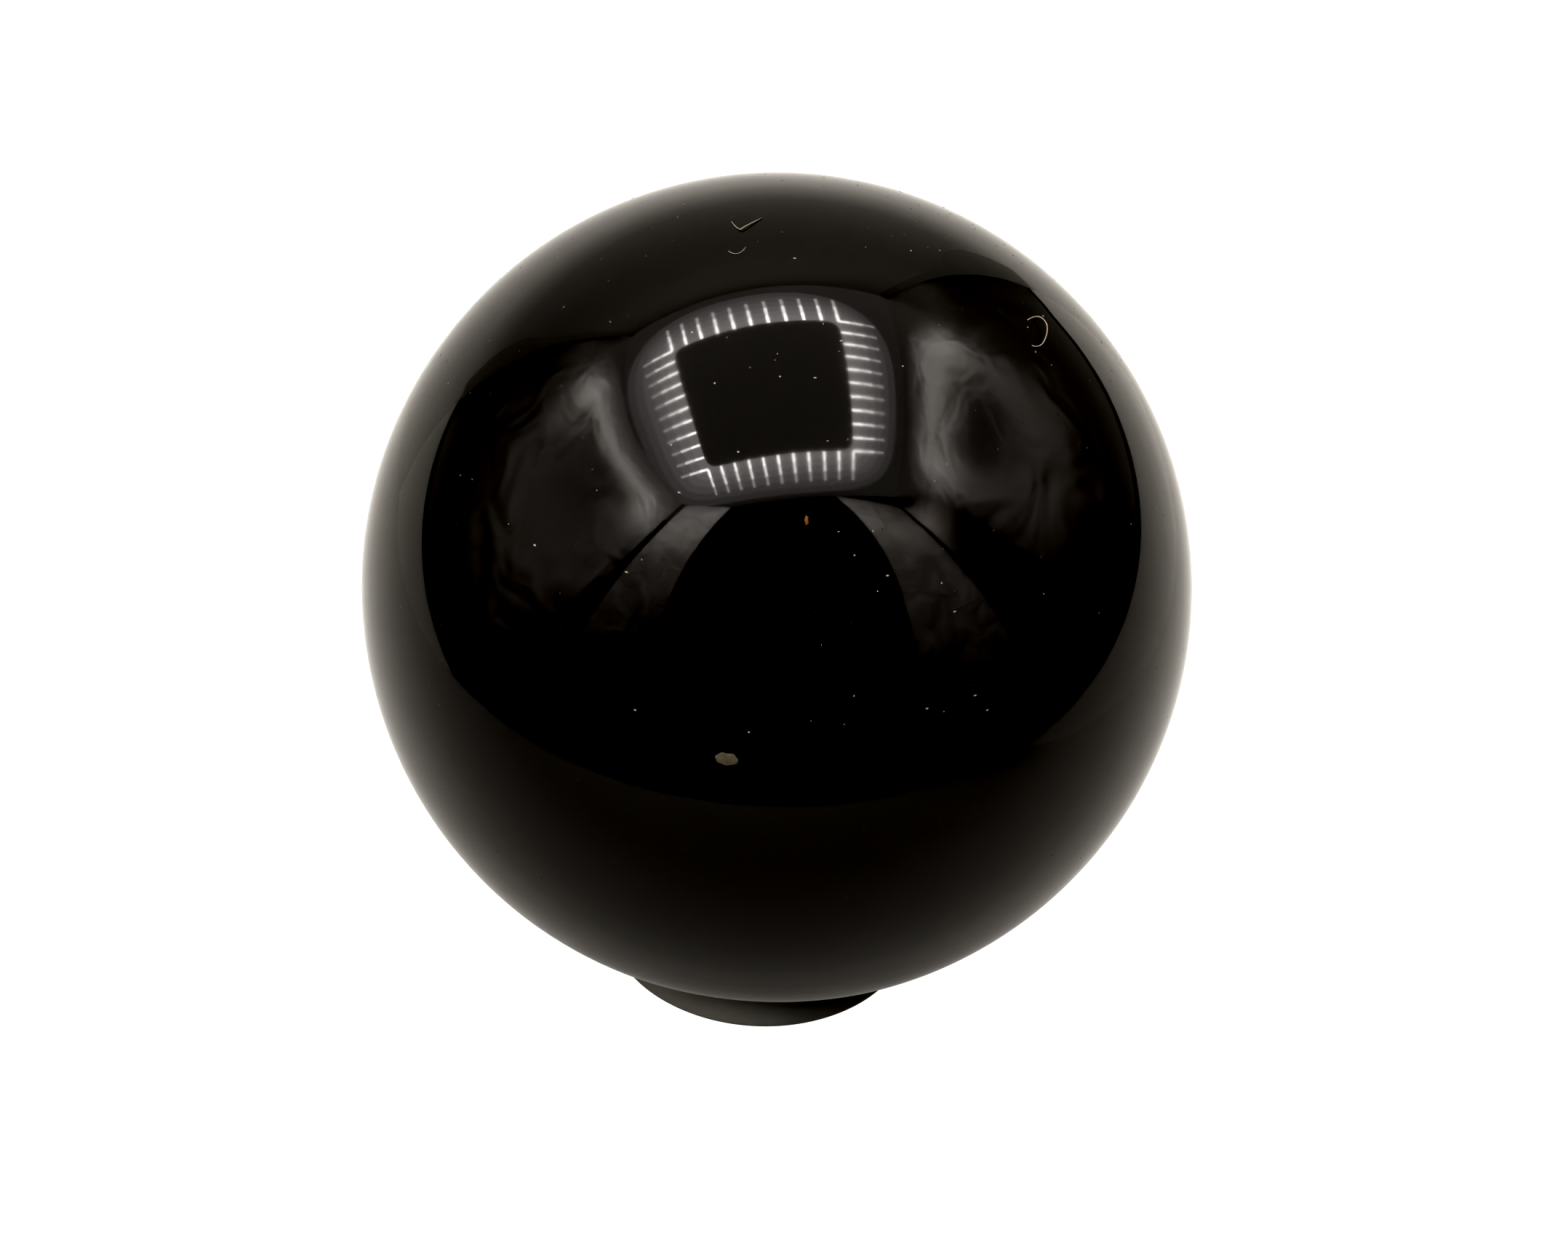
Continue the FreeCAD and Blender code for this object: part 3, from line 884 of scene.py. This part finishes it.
def silver_material(name, roughness, fold_size, fold_height, top_glow=0.0):
    """Metal film on slack cloth, brighter and glowing more towards the top."""
    material, tree = blank_material(name)
    where = add_node(tree, "ShaderNodeTexCoord").outputs["Object"]
    slack = add_node(tree, "ShaderNodeTexNoise", Vector=where, Scale=1 / fold_size, Detail=2.0,
                     Roughness=0.5, Distortion=0.6)
    slack_bump = add_node(tree, "ShaderNodeBump", Height=slack.outputs["Fac"], Strength=1.0,
                          Distance=fold_height)
    height = add_node(tree, "ShaderNodeSeparateXYZ", Vector=where).outputs["Z"]
    # The film's colour is darker below half the ceiling height, and fully bright above seven tenths of
    # it.
    darker_below = add_node(tree, "ShaderNodeMapRange", {"interpolation_type": "SMOOTHSTEP"}, Value=height,
                    From_Min=CENTRE_HEIGHT + DARK_BELOW_HEIGHT * CEILING,
                    From_Max=CENTRE_HEIGHT + BRIGHT_ABOVE_HEIGHT * CEILING)
    tint = add_node(tree, "ShaderNodeMix", {"data_type": "RGBA"}, s0=darker_below.outputs[0],
                    s6=linear("#c9c7c5"), s7=linear("#faf8f6"))
    film = add_node(tree, "ShaderNodeBsdfAnisotropic", {"distribution": "BECKMANN"},
                    Color=tint.outputs[2], Roughness=roughness, Normal=slack_bump.outputs[0])
    rise = add_node(tree, "ShaderNodeMapRange", Value=height, From_Min=0.1 * CEILING,
                    From_Max=CEILING, To_Min=0.0, To_Max=top_glow)
    patch = add_node(tree, "ShaderNodeMapRange", Value=slack.outputs["Fac"], From_Min=0.35,
                     From_Max=0.65, To_Min=0.6, To_Max=1.4)
    strength = add_node(tree, "ShaderNodeMath", {"operation": "MULTIPLY"}, s0=rise.outputs[0],
                        s1=patch.outputs[0])
    glow = add_node(tree, "ShaderNodeEmission", Color=linear(STRAY_LIGHT),
                    Strength=strength.outputs[0])
    both = add_node(tree, "ShaderNodeAddShader", s0=film.outputs[0], s1=glow.outputs[0])
    add_node(tree, "ShaderNodeOutputMaterial", Surface=both.outputs[0])
    return material


silver_cloth = silver_material("silver_film_cloth", 0.36, 40 * MM, 2.2 * MM)
silver_flap = silver_material("silver_film_flap", 0.6, 18 * MM, 2.0 * MM, 0.9)
print("silver finishes:", silver_cloth.name, silver_flap.name)

# %% [markdown]
# The side walls hang slack, so they bow out in the middle, and the left one flares out at the top
# to reach the lamps. Both end in a slanted front edge. From there a stiffer flap runs to each side
# of the opening, which narrows towards the top.

# %% Silver walls and flaps
FLAP_FOOT = -0.08
FLAP_HEAD = 0.97
LEFT_BELLY = 0.08
RIGHT_BELLY = 0.02
LEFT_FLARE = 0.13
FLARE_START = 0.6
WALL_HALF_DEPTH = 0.62
LEFT_FRONT, LEFT_SLANT = -0.33, 0.19
RIGHT_FRONT, RIGHT_SLANT = -0.38, 0.27
OPENING_MIDDLE = -0.055
OPENING_HALF = 0.385
NARROWING, NARROWING_START, NARROWING_RUN = 0.10, 0.4, 0.5


def left_front(z):
    """The left wall's front edge slants forward as it rises."""
    return LEFT_FRONT - LEFT_SLANT * z


def right_front(z):
    """The right wall's front edge slants more."""
    return RIGHT_FRONT - RIGHT_SLANT * z


def middle_share(y):
    """1 in the middle of a side wall, and 0 at its ends."""
    return math.cos(math.pi / 2 * min(1.0, abs(y) / WALL_HALF_DEPTH))


def belly(y, z, depth):
    """How far a slack side wall bows out."""
    return depth * math.sin(math.pi * (z - BENCH) / (1 - BENCH)) * middle_share(y)


def left_wall(u, v):
    """Left wall, from the hem to the ceiling. Its top flares out to the lamp frame."""
    foot = left_hem(between(left_front(0), BACK, u)) + TRIM_GAP
    z = between(foot, 1.0, v)
    y = between(left_front(z), BACK, u)
    flare = LEFT_FLARE * (max(0.0, z - FLARE_START) / (1 - FLARE_START)) ** 2 * middle_share(y)
    return -SIDE - flare - belly(y, z, LEFT_BELLY), y, z


def right_wall(u, v):
    """Right wall, from the hem to the ceiling."""
    foot = right_hem(between(right_front(0), BACK, u)) + TRIM_GAP
    z = between(foot, 1.0, v)
    y = between(right_front(z), BACK, u)
    return SIDE + belly(y, z, RIGHT_BELLY), y, z


def opening_half(z):
    """Half the width of the open front."""
    return OPENING_HALF - NARROWING * (max(0.0, z - NARROWING_START) / NARROWING_RUN) ** 2


def flap_place(side, wall_front):
    """A front flap, from its wall to the opening. Side is -1 on the left and 1 on the right."""
    def place(u, v):
        z = between(FLAP_FOOT, FLAP_HEAD, v)
        edge = OPENING_MIDDLE + side * opening_half(z)
        return between(side * SIDE, edge, u), between(wall_front(z) - TRIM_GAP, FRONT, u), z
    return place


studio_sheet("studio_left_wall", left_wall, silver_cloth)
studio_sheet("studio_right_wall", right_wall, silver_cloth)
studio_sheet("studio_left_flap", flap_place(-1, left_front), silver_flap)
studio_sheet("studio_right_flap", flap_place(1, right_front), silver_flap)
print("silver sheets: two walls and two flaps")

# %% [markdown]
# A grey lining shows in a narrow strip beside the back sheet, widest at a third of the height,
# where the sheet is pulled in.

# %% Lining in the back corners
SEAM_WIDTH = 0.03
SEAM_BULGE = 0.07
SEAM_HEIGHT = 0.28
SEAM_SPREAD = 0.16
LINING_FOOT = 0.13
LINING_DEPTH = 0.012
grey_lining = cloth_material("grey_lining", "#cacac6")[0]


def seam(z):
    """How far the lining shows beside the back sheet."""
    return SEAM_WIDTH + SEAM_BULGE * math.exp(-((z - SEAM_HEIGHT) / SEAM_SPREAD) ** 2)


def back_corner(side):
    """A strip of grey lining in the back corner."""
    def place(u, v):
        z = between(LINING_FOOT, 1.0, v)
        return side * (SIDE - u * seam(z)), BACK - LINING_DEPTH * (1 - u), z
    return place


studio_sheet("studio_left_corner", back_corner(-1), grey_lining)
studio_sheet("studio_right_corner", back_corner(1), grey_lining)
print("lining", round(2 * seam(SEAM_HEIGHT) * CEILING / MM, 1), "mm wide in all at its widest")

# %% [markdown]
# The lamps are rows of bright diodes on a grey frame. Its inside is square. Its outside follows the
# cloth, square in front and round at the back. Each diode is drawn as a short streak across the
# frame, bright at its inner end, because that is how its reflector smears it.

# %% Studio lamps
LAMP_SIDE, LAMP_BACK = -0.04, -0.04
FRAME_LEAN = 0.04
FRAME_HEIGHT, STREAK_HEIGHT = 0.995, 0.99
LAMP_HALF = 0.33
FRAME_HALF_WIDTH, FRAME_HALF_DEPTH = 0.58, 0.545
INNER_SQUARENESS, FRONT_SQUARENESS, BACK_SQUARENESS = 14, 5, 2.9
DIODES = 11
STREAK_HALF = 0.006
FRAME_BANDS = (4.6, 4.1, 3.5, 3.0, 2.5, 2.1)
CEILING_LEFT, CEILING_RIGHT = -0.75, 0.65
CEILING_GLOW = 1.1
streak_glows = [(0.000, 0.045, glow_material("lamp_streak_core", "#fffdf9", 22.0)),
                (0.045, 0.100, glow_material("lamp_streak_middle", "#fffdf9", 15.0)),
                (0.100, 0.150, glow_material("lamp_streak_end", "#fffdf9", 7.0))]


def rounded_square(turn_angle, half_x, half_y, squareness):
    """Distance from the middle to the edge of a square with soft corners."""
    out = abs(math.cos(turn_angle) / half_x) ** squareness
    out += abs(math.sin(turn_angle) / half_y) ** squareness
    return out ** (-1 / squareness)


def frame_band(first, last):
    """One band of the grey frame, between two shares of the way out."""
    def place(u, v):
        angle = 2 * math.pi * u
        share = between(first, last, v)
        inner = rounded_square(angle, LAMP_HALF, LAMP_HALF, INNER_SQUARENESS)
        squareness = FRONT_SQUARENESS if math.sin(angle) < 0 else BACK_SQUARENESS
        outer = rounded_square(angle, FRAME_HALF_WIDTH, FRAME_HALF_DEPTH, squareness)
        reach = between(inner, outer, share)
        return (LAMP_SIDE - FRAME_LEAN * share + reach * math.cos(angle),
                LAMP_BACK + reach * math.sin(angle), FRAME_HEIGHT)
    return place


def streak_place(side, middle, near, far):
    """One diode streak, which runs outward from the frame's inner edge."""
    out = Matrix.Rotation(-side * math.pi / 2, 2)

    def place(u, v):
        spot = out @ Vector((middle + between(-STREAK_HALF, STREAK_HALF, u),
                             -LAMP_HALF - between(near, far, v)))
        return LAMP_SIDE + spot.x, LAMP_BACK + spot.y, STREAK_HEIGHT
    return place


def ceiling_place(u, v):
    """The cloth above the lamps."""
    x = between(CEILING_LEFT, CEILING_RIGHT, u)
    return x, between(-WALL_HALF_DEPTH, WALL_HALF_DEPTH, v), 1.0


for number, strength in enumerate(FRAME_BANDS):
    studio_sheet(f"studio_lamp_frame_{number}",
                 frame_band(number / len(FRAME_BANDS), (number + 1) / len(FRAME_BANDS)),
                 glow_material(f"lamp_panel_glow_{number}", "#fffbfa", strength), across=180, along=1)
for side in range(4):
    for number in range(DIODES):
        middle = LAMP_HALF * (2 * number / (DIODES - 1) - 1)
        for near, far, glow in streak_glows:
            studio_sheet(f"studio_streak_{side}_{number}", streak_place(side, middle, near, far),
                         glow, across=1, along=1)
ceiling_cloth = cloth_material("ceiling_inner_cloth", "#8a8a8a", CEILING_GLOW)[0]
studio_sheet("studio_ceiling", ceiling_place, ceiling_cloth, across=1, along=1)
print("lamps:", len(FRAME_BANDS), "frame bands and", 4 * DIODES, "diodes")

# %% [markdown]
# A dark room surrounds the box, so nothing white shows in the ball through the open front. The
# floor that the camera sees is a plain pale one that glows like a light table, so that no hard
# shadow falls on it. Only inside the ring, under the ball, is its glow turned down to a painted
# shadow. It sits a hair under the ring's foot, and only the camera sees it.

# %% Dark room, pale floor and background
ROOM_RADIUS = 0.8
FLOOR_HALF = 0.75
FLOOR_LEVEL = -0.05 * MM
SHADE_IN_RING = 0.1
black_cloth = cloth_material("black_cloth", "#050505")[0]
room_mesh = bpy.data.meshes.new("studio_dark_room")
room_work = bmesh.new()
bmesh.ops.create_icosphere(room_work, subdivisions=4, radius=ROOM_RADIUS)
room_work.to_mesh(room_mesh)
room_work.free()
room_mesh.materials.append(black_cloth)
room = add_object("studio_dark_room", room_mesh)
room.visible_camera = False

pale_floor, tree = blank_material("pale_light_table")
spot = add_node(tree, "ShaderNodeTexCoord").outputs["Object"]
from_axis = add_node(tree, "ShaderNodeVectorMath", {"operation": "LENGTH"}, s0=spot)
# Painted shadow: inside the ring, under the ball, the floor's glow drops to a tenth.
glow_with_painted_shadow = add_node(tree, "ShaderNodeMapRange", Value=from_axis.outputs["Value"],
                      From_Min=hole + FOOT_ROUND, From_Max=hole + 2 * FOOT_ROUND,
                      To_Min=SHADE_IN_RING, To_Max=1.0)
table = add_node(tree, "ShaderNodeBsdfPrincipled", Base_Color=linear("#0a0a0a"), Roughness=0.9,
                 Emission_Color=linear("#ffffff"), Emission_Strength=glow_with_painted_shadow.outputs[0],
                 Specular_IOR_Level=0.0)
add_node(tree, "ShaderNodeOutputMaterial", Surface=table.outputs[0])
floor_mesh = bpy.data.meshes.new("pale_floor")
corners = [(-1, -1), (1, -1), (1, 1), (-1, 1)]
floor_mesh.from_pydata([(x * FLOOR_HALF, y * FLOOR_HALF, FLOOR_LEVEL) for x, y in corners],
                       [], [(0, 1, 2, 3)])
floor_mesh.materials.append(pale_floor)
floor = add_object("pale_floor", floor_mesh)
floor.visible_diffuse = False
floor.visible_glossy = False
floor.visible_transmission = False
floor.visible_shadow = False
print("room radius", ROOM_RADIUS, "m, floor", 2 * FLOOR_HALF, "m wide")

# %% [markdown]
# A soft lamp beside the camera lifts the ring and the dust, which would otherwise sink into the
# ball's shadow. It is linked to them only, and mirrors don't see it, so the ball stays black.

# %% Soft front lamp
LAMP_DISTANCE = 0.35
LAMP_SIZE = 0.08
LAMP_POWER = 4.1
LAMP_TURN, LAMP_RISE = math.radians(-23), math.radians(46)
front_lamp_data = bpy.data.lights.new("studio_front_lamp", "AREA")
front_lamp_data.size = LAMP_SIZE
front_lamp_data.energy = LAMP_POWER
front_lamp = add_object("studio_front_lamp", front_lamp_data)
lamp_way = Vector((math.sin(LAMP_TURN) * math.cos(LAMP_RISE),
                   -math.cos(LAMP_TURN) * math.cos(LAMP_RISE), math.sin(LAMP_RISE)))
front_lamp.location = lamp_way * LAMP_DISTANCE
front_lamp.rotation_euler = lamp_way.to_track_quat("Z", "Y").to_euler()
front_lamp.visible_camera = False
front_lamp.visible_glossy = False
lit = bpy.data.collections.new("lit_by_front_lamp")
for item in bpy.context.scene.objects:
    if item.name.startswith(("stand_ring_moulded", "lint", "flake", "speck", "dust")):
        lit.objects.link(item)
front_lamp.light_linking.receiver_collection = lit

world = bpy.data.worlds.new("white_backdrop")
bpy.context.scene.world = world
world.use_nodes = True
backdrop = world.node_tree.nodes["Background"]
set_sockets(backdrop, Color=(1, 1, 1, 1), Strength=1.0)

# %% [markdown]
# The picture is printed with deep blacks and clean whites, as catalogue pictures are. A curve does
# it: everything under a dark grey goes to black, and the pale floor goes to pure white.

# %% Picture contrast
BLACK_POINT = 60 / 255
GAIN = 1.45
WHOLE_CURVE = 3
STEPS = 8


def to_linear(signal):
    """An sRGB signal as linear light."""
    return signal / 12.92 if signal <= 0.04045 else ((signal + 0.055) / 1.055) ** 2.4


settings = bpy.context.scene.view_settings
settings.view_transform = "Standard"
settings.look = "None"
settings.use_curve_mapping = True
curve = settings.curve_mapping.curves[WHOLE_CURVE]
lightest = BLACK_POINT + 1 / GAIN
marks = [(to_linear(BLACK_POINT + (lightest - BLACK_POINT) * n / STEPS), to_linear(n / STEPS))
         for n in range(STEPS + 1)]
curve.points[0].location = marks[0]
curve.points[-1].location = marks[-1]
for dark, shown in marks[1:-1]:
    curve.points.new(dark, shown)
settings.curve_mapping.update()
print("curve", [(round(a, 3), round(b, 3)) for a, b in marks])
